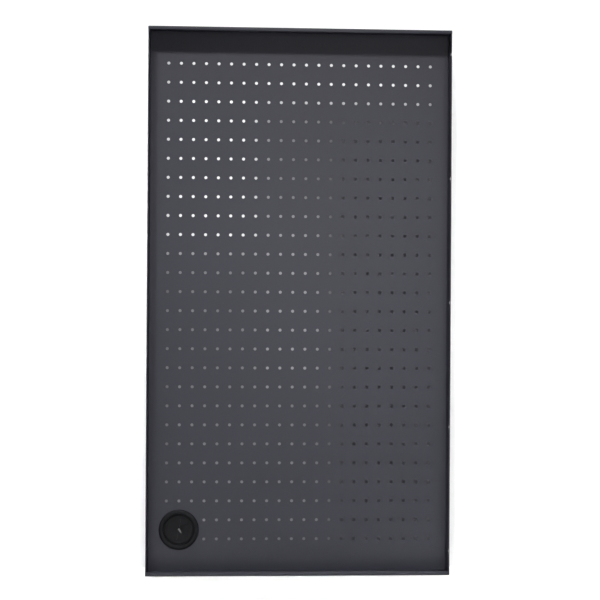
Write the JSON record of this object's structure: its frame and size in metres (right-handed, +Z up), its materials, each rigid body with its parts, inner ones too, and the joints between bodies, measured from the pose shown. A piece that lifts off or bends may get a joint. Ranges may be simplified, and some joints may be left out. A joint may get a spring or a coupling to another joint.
{
  "type": "perforated gondola back panel",
  "caption": "Shallow steel tray panel, open at the front: a back sheet with a grid of small round holes, lipped rails, slotted sides and a slit cable grommet in a lower corner.",
  "frame": {"origin": "under the middle of the panel: the middle of its width and of its whole depth, at its bottom face", "axes": "+X to the right as seen from the open front, +Y from the open front towards the back, +Z up the panel"},
  "size_m": [0.6, 0.048, 1.08],
  "materials": {
    "panel_steel": "dark grey semi-matt powder coat with a fine grain, slightly bluish",
    "grommet_plastic": "black moulded plastic, satin",
    "grommet_rubber": "black soft rubber, matt"
  },
  "bodies": {
    "root": {"perforated_sheet": "panel_steel", "top_rail": "panel_steel", "bottom_rail": "panel_steel", "left_side": "panel_steel", "right_side": "panel_steel", "grommet_bezel": "grommet_plastic", "grommet_membrane": "grommet_rubber", "grommet_nut": "grommet_plastic"}
  },
  "joints": []
}
